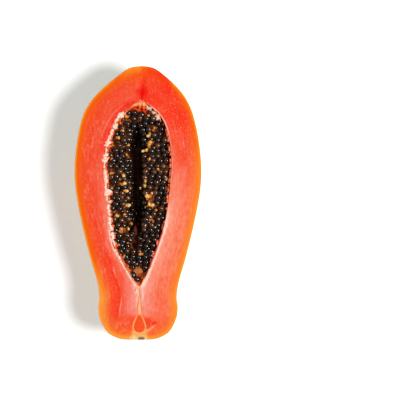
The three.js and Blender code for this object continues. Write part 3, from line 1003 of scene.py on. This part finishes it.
def crown_crease(flesh):
    """The deep red about the crease, its dark line, and a painted shade in dark red left of the cavity's tip.
    """
    x, y, clouds = flesh.x, flesh.y, flesh.clouds
    crease_x, crease_y, *_ = CROWN_CREASE
    crease_x += CREASE_SHIFT
    off_crease = abs(x - crease_x - (y - crease_y) * CREASE_SLANT + clouds * 0.6)
    flesh.cover(flesh.in_crease * 0.97, (250, 16, 0))
    tail = y.within(crease_y + 4, crease_y + 10, crease_y + 15, crease_y + 22)
    flesh.cover(off_crease.falls(0.2, 2.8) * tail * 0.7, (250, 36, 2))
    line = y.within(crease_y - 6, crease_y - 2, crease_y + 4, crease_y + 14)
    flesh.cover(off_crease.falls(0.2, 1.8) * line * 0.8, (220, 0, 0))
    # Painted shade: dark red left of the cavity's tip, beside the seeds
    shade = (flesh.oval(-9.3, 86, 4.4, 3.4) + clouds).falls(0.1, 1.2)
    flesh.cover(shade * 0.6, (232, 20, 2))


def veins(flesh):
    """The red vein with its pale lines, the pale arc by the crown, and the marks right of the core's end."""
    x, y, clouds = flesh.x, flesh.y, flesh.clouds
    off_vein = x - flesh.curve(y, RED_VEIN) + clouds * 1.2
    vein_length = y.within(-104, -96, -50, -36)
    flesh.cover(off_vein.near(-2.4, 8) * vein_length * (0.7 + clouds), (248, 58, 14))
    flesh.cover(off_vein.near(0.2, 1.8) * vein_length * (0.7 + clouds), (248, 30, 4))
    pale_line = off_vein.near(2.2, 1) * (y.near(-60, 7) + y.near(-90, 12))
    flesh.cover(pale_line * 0.8, (252, 160, 124))
    off_arc = x - flesh.curve(y, PALE_ARC) + flesh.patches
    arc_length = y.within(54, 60, 84, 89)
    flesh.cover(off_arc.near(0, 1.2) * arc_length * 0.6, (251, 134, 108))
    spot = (flesh.oval(14.2, -106, 2.4, 2.8) + clouds * 2).falls(0.2, 1.6)
    flesh.cover(spot * 0.9, (246, 22, 2))
    patch = (flesh.oval(8.6, -105, 3.4, 5) + clouds * 2).falls(0.2, 1.4)
    flesh.cover(patch * 0.75, (248, 44, 8))
    off_stem_arc = y - flesh.curve(x, STEM_ARC) + clouds * 0.8
    stem_arc = off_stem_arc.near(0, 1.9) * x.within(5.4, 7.4, 13, 17)
    flesh.cover(stem_arc * 0.95, (252, 160, 108))


def neck_core(flesh):
    """Whitish fibres, and two orange lines that part round the core's drop-shaped end."""
    x, y, threads = flesh.x, flesh.y, flesh.threads
    across = abs(x - CORE_X + flesh.clouds * 0.4)
    fringe = across - flesh.curve(y, PALE_BAND) + threads * 5
    band = y.within(-99, -94, -72, -66)
    flesh.cover(fringe.falls(-1.6, 1.6) * band * (0.5 + threads * 5), (254, 216, 200))
    side = across - flesh.curve(y, CORE)
    within = side.falls(-0.6, 0.2)
    flesh.cover(within * y.falls(-100, -97) * 0.95, (247, 78, 24))
    flesh.cover(within * y.rises(-99, -96) * 0.85, (250, 184, 144))
    gold = y.falls(-112.6, -110) * abs(x - CORE_X).falls(4.4, 8.4)
    flesh.cover(gold * side.rises(0, 0.5) * 0.85, (248, 182, 96))
    core_length = y.within(-114.3, -113.7, -76, -70)
    line_colour = flesh.mix(y.falls(-104, -92), paint(249, 124, 44), paint(252, 166, 92))
    thinner = 1 + y.rises(-92, -80) * 0.9
    flesh.cover((abs(side) * thinner).falls(0.35, 0.95) * core_length * 0.95, line_colour)
    dashed = (flesh.blotches + flesh.grain).rises(0, 0.06)
    dashes = (x + 2.4).near(0, 1.1) * y.within(-85, -82, -76, -73) * dashed
    flesh.cover(dashes * 0.85, (200, 30, 24))


def stem_scar(flesh):
    x, y, clouds, blotches = flesh.x, flesh.y, flesh.clouds, flesh.blotches
    scar = y.falls(-117.8, -115) * abs(x - 0.8 + clouds * 2).falls(4.6, 9.6)
    flesh.cover(scar * (0.9 + flesh.grain), (240, 190, 112))
    flesh.cover(y.falls(-118.9, -117.6) * abs(x - 0.4).falls(5, 8.6) * 0.9, (240, 196, 150))
    flesh.cover(scar * blotches.rises(0, 0.1) * 0.7, (254, 220, 182))
    brown = y.falls(-118.4, -116.4) * abs(x - 3 + clouds * 3).falls(1.2, 3.6)
    flesh.cover(brown * (0.95 + blotches * 2), (116, 48, 16))


def cavity_edges(flesh):
    """Pale edges, and the red strip inside the right one."""
    y, from_cavity, threads = flesh.y, flesh.from_cavity, flesh.threads
    left_rim, right_rim = (from_cavity.rises(-0.9, -0.3) * side for side in (flesh.left, flesh.right))
    pale_share = 0.35 + 0.5 * y.rises(56, 66) + flesh.grain
    upper_edge = from_cavity.falls(0.2, 1.6) * y.within(8, 30, 80, 90) * pale_share
    lower_edge = (from_cavity + threads * 5).falls(1.8, 3.8) * y.falls(-24, 4)
    flesh.cover(right_rim * upper_edge.most(lower_edge), (253, 214, 196))
    strip_length = y.within(-64, -58, -24, -16) * flesh.blotches.rises(-0.12, -0.04)
    flesh.cover(right_rim * (from_cavity + threads * 2).falls(0.9, 1.5) * strip_length * 0.9, (216, 28, 12))
    left_edge = (from_cavity + threads * 3).falls(0.4, 1.9) * y.falls(-30, -12)
    flesh.cover(left_rim * left_edge * 0.95, (253, 214, 192))


def cavity_walls(flesh):
    x, y = flesh.x, flesh.y
    deep = 0 - flesh.from_cavity
    wall = flesh.ramp(deep.most(0), [
        (0, (250, 130, 90)), (0.9, (250, 60, 14)), (3, (246, 92, 22)), (6, (226, 98, 28)),
        (12, (140, 60, 20)),
    ])
    flesh.cover(deep.rises(0.1, 0.6), wall)
    torn_colour = flesh.ramp(flesh.noise(1.6, 4, 0.65, (1, 2, 1)), [
        (0.3, (232, 40, 16)), (0.46, (244, 88, 46)), (0.56, (249, 158, 124)), (0.8, (252, 222, 200)),
    ])
    torn = x.falls(-3, 1) * deep.rises(-0.2, 0.3) * y.falls(80, 88)
    flesh.cover(torn * deep.falls(3, 7), torn_colour)
    end_colour = flesh.mix(flesh.clouds.rises(-0.1, 0.2), paint(252, 90, 10), paint(244, 34, 6))
    flesh.cover(deep.rises(0.1, 0.6) * y.rises(74, 84) * 0.95, end_colour)


def grain_and_painted_glints(flesh):
    grainy = flesh.grain.rises(0.02, 0.16) * flesh.inner * (1 - flesh.in_crease)
    flesh.cover(grainy * 0.17, (254, 186, 156))
    # Painted glints: small pale flecks on the upper right of the flesh, for the moist cut face's sparkle
    flecks = flesh.specks(2.4, 0.2) * flesh.x.rises(18, 26) * flesh.y.within(20, 60, 104, 112)
    flesh.cover(flecks * 0.6, (254, 176, 130))


FLESH_LAYERS = (
    edge_gradient, crown_reds, pink_flesh, mottling, crown_crease, veins, neck_core, stem_scar,
    cavity_edges, cavity_walls, grain_and_painted_glints,
)


def flesh_finish():
    flesh = Flesh()
    for layer in FLESH_LAYERS:
        layer(flesh)
    height = 0.5 + flesh.fibres * 0.7 + flesh.grain * 0.6
    return flesh.wear(0.56 + flesh.grain * 0.3, flesh.bump(height, 0.16))


def skin_finish():
    skin = Finish("skin", Coat_Weight=0.3, Coat_Roughness=0.18)
    below = CUT_Z - skin.z
    patches = skin.noise(34, 3, 0.5, (1, 2.2, 1))
    streaks = skin.noise(6, 3, 0.55, (1, 7, 1))
    skin.colour = skin.ramp(patches, [
        (0.3, (232, 128, 26)), (0.5, (240, 164, 36)), (0.7, (222, 176, 40)), (1, (200, 170, 40)),
    ])
    ripeness = patches * 0.75 + streaks * 0.25 + below.rises(8, 42) * 0.14 + skin.y.rises(-70, 110) * 0.06
    skin.cover(ripeness.rises(0.5, 0.64), (150, 156, 36))
    skin.cover(ripeness.rises(0.58, 0.76), (62, 112, 34))
    skin.cover(below.falls(0, 6) * 0.8, (248, 160, 44))
    skin.cover((streaks - 0.5).rises(0.02, 0.25) * 0.3, (250, 206, 96))
    flecks = skin.specks(3.4, 0.11)
    skin.cover(flecks * 0.45, (236, 214, 130))
    bruises = skin.noise(11, 4, 0.65).rises(0.64, 0.74)
    skin.cover(bruises * 0.35, (132, 84, 34))
    off_axis = (skin.x**2 + below**2) ** 0.5
    scar = skin.y.falls(-117, -112) * (off_axis + streaks * 2).falls(SCAR_RADIUS - 1, SCAR_RADIUS + 1.4)
    skin.cover(scar * 0.9, (176, 128, 74))
    skin.cover(scar * off_axis.near(4.2, 1.6) * 0.8, (84, 52, 28))
    tip = skin.y.rises(116, 120) * ((skin.x - BLOSSOM_SWAY) ** 2 + below**2).falls(2, 16)
    skin.cover(tip * 0.8, (104, 66, 30))
    roughness = 0.36 + (streaks - 0.5) * 0.16 + flecks * 0.2 + scar * 0.3
    pores = skin.bump(1 - flecks, 0.08)
    return skin.wear(roughness, skin.bump(skin.noise(2.4, 3, 0.6) + scar * skin.noise(0.8, 3), 0.16, pores))


def seed_finish():
    coat = Finish(
        "seed_coat", Specular_IOR_Level=0.02, Coat_Weight=1, Coat_Roughness=0.1, Coat_IOR=1.78,
        Sheen_Weight=0.45, Sheen_Roughness=0.3, Sheen_Tint=(0.6, 0.22, 0.06, 1),
    )
    clouds = coat.noise(3.2, 3, 0.55)
    coat.colour = coat.ramp(coat.attribute("tone") * 0.55 + clouds * 0.9 - coat.y.falls(-52, -22) * 0.22, [
        (0.45, (14, 6, 3)), (0.7, (30, 13, 6)), (0.88, (66, 33, 13)), (1.02, (104, 58, 25)),
        (1.3, (150, 98, 50)),
    ])
    # Painted shade: seeds deep in the cavity and its furrow darken to near black, and their coat's gloss is
    # cut
    deep = (CUT_Z - coat.z).rises(4.8, 11.8)
    coat.cover(deep * 0.9, (7, 4, 3))
    coat.feed(coat.shader.inputs["Coat Weight"], 1 - deep * 0.7)
    return coat.wear(0.4 + (clouds - 0.5) * 0.3, coat.bump(coat.noise(0.9, 3, 0.6), 0.1))


def placenta_finish():
    placenta = Finish("placenta", Specular_IOR_Level=0.12, Coat_Weight=0.15, Coat_Roughness=0.2)
    threads = placenta.noise(1.4, 4, 0.65, (1, 2.4, 1))
    placenta.colour = placenta.ramp(threads, [
        (0.34, (44, 14, 4)), (0.5, (104, 44, 12)), (0.62, (200, 108, 38)), (1, (240, 160, 80)),
    ])
    # Painted shade: darker brown deeper down, in the furrow
    placenta.cover((CUT_Z - placenta.z).rises(9, 15), (84, 32, 12))
    for patch, patch_colour in zip(BARE_PATCHES, [(196, 118, 66), (86, 22, 6)]):
        inside = in_patch(placenta.x, placenta.y, patch)
        placenta.cover((inside + threads * 0.6).rises(0.1, 0.6) * 0.85, patch_colour)
    placenta.cover(placenta.y.rises(75, 80) * 0.9, (248, 78, 14))
    return placenta.wear(0.4 + 0.2 * threads, placenta.bump(threads, 0.5))


def scrap_finish():
    scrap = Finish("placenta_scrap", Specular_IOR_Level=0.3, Coat_Weight=0.4, Coat_Roughness=0.2)
    mottle = scrap.noise(1.3, 3, 0.6)
    scrap.colour = scrap.ramp(scrap.attribute("tone") * 0.62 + mottle * 0.76, [
        (0.32, (140, 62, 16)), (0.52, (200, 112, 30)), (0.76, (236, 160, 60)), (0.96, (252, 206, 118)),
        (1.2, (255, 236, 186)),
    ])
    return scrap.wear(0.34 + 0.2 * mottle, scrap.bump(mottle, 0.25))


def lining_finish():
    lining = Finish("torn_lining", Specular_IOR_Level=0.3, Coat_Weight=0.2, Coat_Roughness=0.25)
    mottle = lining.noise(1.5, 4, 0.6)
    tooth = lining.ramp(mottle, [
        (0.3, (248, 134, 98)), (0.42, (251, 192, 162)), (0.54, (253, 222, 202)), (1, (255, 240, 228)),
    ])
    lining.colour = lining.ramp(mottle, [
        (0.34, (214, 48, 14)), (0.5, (240, 92, 34)), (0.62, (250, 156, 96)), (1, (252, 196, 150)),
    ])
    lining.cover(lining.attribute("tone").rises(0.35, 0.6), tooth)
    return lining.wear(0.4 + 0.2 * mottle, lining.bump(mottle, 0.25))


def strand_finish():
    strand = Finish("strand", Specular_IOR_Level=0.3, Coat_Weight=0.2, Coat_Roughness=0.25)
    mottle = strand.noise(2.4, 3, 0.6)
    low = (CUT_Z - strand.z).rises(1, 2.4)
    strand.colour = strand.ramp(mottle - low * 0.1, [
        (0.34, (250, 92, 24)), (0.46, (251, 144, 74)), (0.58, (252, 190, 140)), (1, (254, 222, 196)),
    ])
    in_tip = strand.oval(4.6, 85, 4, 6).falls(0.7, 1.3)
    tip_colour = strand.mix(mottle.rises(0.4, 0.6), paint(246, 46, 4), paint(255, 112, 30))
    strand.cover(in_tip * low * 0.9, tip_colour)
    return strand.wear(0.4 + 0.2 * mottle, strand.bump(mottle, 0.2))


# The pieces, each with its finish, the body it rides on and the nodes it stands for

def settle(piece, slot, finishes, *nodes):
    piece.data.materials.clear()
    for finish in finishes:
        piece.data.materials.append(finish)
    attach(piece, "root")
    if nodes:
        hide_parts(*nodes)


def colour_flesh(fruit):
    """Gives the second finish to every face that lies inside the skin's edge."""
    from_skin = fruit.data.attributes["from_skin"].data
    for face in fruit.data.polygons:
        face.material_index = int(max(from_skin[index].value for index in face.vertices) > 0.01)


fruit = make_fruit()
settle(fruit, "flesh", [skin_finish(), flesh_finish()], "fruit_half")
colour_flesh(fruit)
settle(make_banks(), "flesh", [placenta_finish()], "seeds")
settle(make_seeds(), "seeds", [seed_finish()], "seeds")
settle(make_scraps(), "flesh", [scrap_finish()])
settle(make_lining(), "flesh", [lining_finish()])
settle(make_strands(), "flesh", [strand_finish()])


# Floor, light and camera

CAMERA_X, CAMERA_Y = 54.3, 2.6
CAMERA_HEIGHT = 1400  # over the cut face
FRAME_WIDTH = 350.4  # seen at the cut face
SENSOR = 36
FLOOR_SIZE, FLOOR_DROP = 6, 0.0004  # in metres
# The floor's own glow is painted light that lifts its cast shadow; it fades out under the fruit, where the
# real contact shade stays
FLOOR_GLOW = 0.38
SHADE_X, SHADE_Y = 60, 116  # half width and half length of the patch under the fruit where the floor's painted glow fades out
WORLD_STRENGTH = 0.16
LAMP_DISTANCE = 2.2
# Lamps: name, direction, width and power
LAMPS = [("key", (0.56, -0.1, 0.82), 0.76, 47.5), ("fill", (-0.45, 0.3, 0.84), 2, 4.4)]


def make_floor():
    bpy.ops.object.select_all(action="DESELECT")
    bpy.ops.mesh.primitive_plane_add(size=FLOOR_SIZE, location=(0, 0, -FLOOR_DROP))
    bpy.ops.object.transform_apply(location=True, rotation=False, scale=False)
    floor = bpy.context.object
    floor.name = floor.data.name = "floor"
    paper = Finish("pale_floor", Emission_Strength=FLOOR_GLOW)
    speckle = paper.noise(2, 2)
    paper.colour = paper.mix(speckle * 0.2, paint(250, 250, 250), paint(244, 244, 243))
    off_middle = paper.oval(0, 0, SHADE_X, SHADE_Y) ** 0.5
    # Painted glow: none under the fruit, full glow further out
    glow = paper.mix(off_middle.rises(0.2, 0.9), (0, 0, 0, 1), (1, 1, 1, 1))
    paper.feed(paper.shader.inputs["Emission Color"], glow)
    floor.data.materials.append(paper.wear(0.6 + 0.1 * speckle, paper.bump(speckle, 0.02)))


def softbox(name, direction, width, power):
    lamp = bpy.data.lights.new(name, "AREA")
    lamp.shape = "DISK"
    lamp.size = width
    lamp.energy = power
    holder = bpy.data.objects.new(name, lamp)
    holder.location = Vector((0, 0, CUT_Z * MM)) + Vector(direction).normalized() * LAMP_DISTANCE
    holder.rotation_euler = Vector(direction).to_track_quat("Z", "Y").to_euler()
    bpy.context.scene.collection.objects.link(holder)


def make_light():
    world = bpy.data.worlds.new("studio")
    bpy.context.scene.world = world
    world.use_nodes = True
    background = world.node_tree.nodes["Background"]
    background.inputs["Color"].default_value = (1, 1, 1, 1)
    background.inputs["Strength"].default_value = WORLD_STRENGTH
    for lamp in LAMPS:
        softbox(*lamp)


def make_camera():
    camera = bpy.data.cameras.new("camera")
    camera.sensor_width = SENSOR
    camera.lens = SENSOR * CAMERA_HEIGHT / FRAME_WIDTH
    holder = bpy.data.objects.new("camera", camera)
    holder.location = (CAMERA_X * MM, CAMERA_Y * MM, (CUT_Z + CAMERA_HEIGHT) * MM)
    bpy.context.scene.collection.objects.link(holder)
    bpy.context.scene.camera = holder


make_floor()
make_light()
make_camera()
bpy.context.scene.view_settings.view_transform = "Standard"
